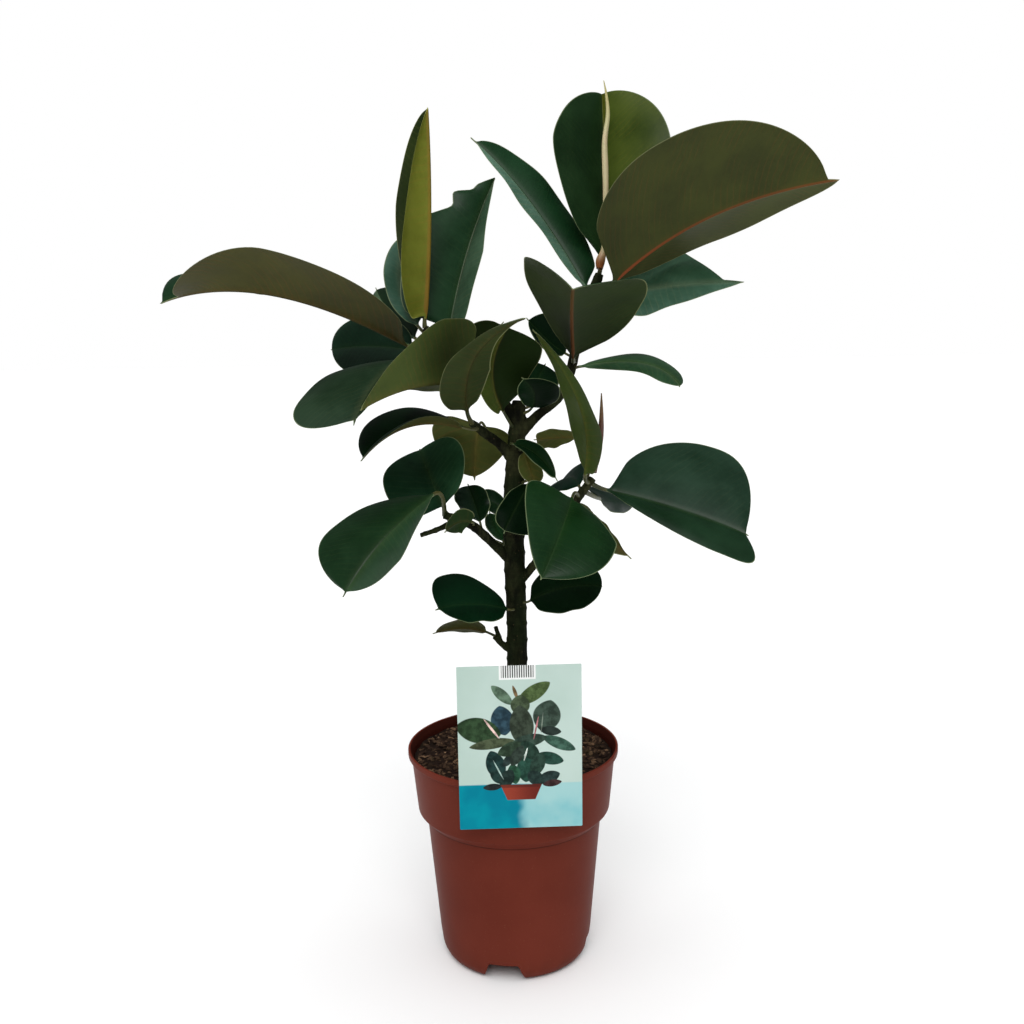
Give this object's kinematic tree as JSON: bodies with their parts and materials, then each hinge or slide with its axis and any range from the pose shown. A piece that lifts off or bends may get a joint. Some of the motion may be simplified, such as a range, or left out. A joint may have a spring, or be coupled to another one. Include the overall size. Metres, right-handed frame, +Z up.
{
  "type": "potted rubber plant",
  "caption": "Branched rubber plant with broad glossy dark green leaves and an upright bud sheath, growing in a round tapered nursery pot with a plain picture label.",
  "frame": {"origin": "on the floor, on the pot's axis, under the middle of the plant's outline", "axes": "+Z up along the trunk, -Y the front where the label stands, +X to the right seen from the front"},
  "size_m": [0.58, 0.292, 0.7801],
  "materials": {
    "pot": "satin moulded terracotta-coloured plastic",
    "soil": "loose bark and peat, matt",
    "stem": "green-brown young bark with leaf scars",
    "leaf": "glossy waxy dark green above, matt olive below",
    "young_leaf": "satin yellow-green",
    "sheath": "satin cream",
    "bud": "satin purple-brown",
    "label": "printed semi-gloss sheet"
  },
  "bodies": {
    "root": {"pot": "pot", "soil": "soil", "stem": "stem", "leaf_left_top_1": "leaf", "leaf_left_top_2": "young_leaf", "leaf_left_top_3": "leaf", "leaf_left_top_4": "leaf", "leaf_left_top_5": "leaf", "leaf_left_top_6": "leaf", "leaf_left_top_7": "leaf", "leaf_left_top_8": "leaf", "leaf_left_top_9": "leaf", "leaf_mid_1": "leaf", "leaf_mid_2": "leaf", "leaf_mid_3": "leaf", "leaf_mid_4": "leaf", "leaf_left_low_1": "leaf", "leaf_left_low_2": "leaf", "leaf_left_low_3": "leaf", "leaf_left_low_4": "leaf", "leaf_left_low_5": "leaf", "leaf_left_low_6": "leaf", "leaf_trunk_1": "leaf", "leaf_trunk_2": "leaf", "leaf_trunk_3": "leaf", "leaf_trunk_4": "leaf", "leaf_trunk_5": "leaf", "leaf_trunk_6": "leaf", "leaf_trunk_7": "leaf", "leaf_low_1": "leaf", "leaf_right_mid_1": "leaf", "leaf_right_mid_2": "leaf", "leaf_right_mid_3": "leaf", "leaf_right_mid_4": "leaf", "leaf_right_mid_5": "leaf", "leaf_right_mid_6": "leaf", "leaf_right_mid_7": "leaf", "leaf_right_top_1": "leaf", "leaf_right_top_2": "leaf", "leaf_right_top_3": "leaf", "leaf_right_top_4": "leaf", "leaf_right_top_5": "leaf", "leaf_right_top_6": "leaf", "leaf_right_top_7": "leaf", "leaf_right_top_8": "leaf", "sheath": "sheath", "bud": "bud", "label": "label"}
  },
  "joints": []
}
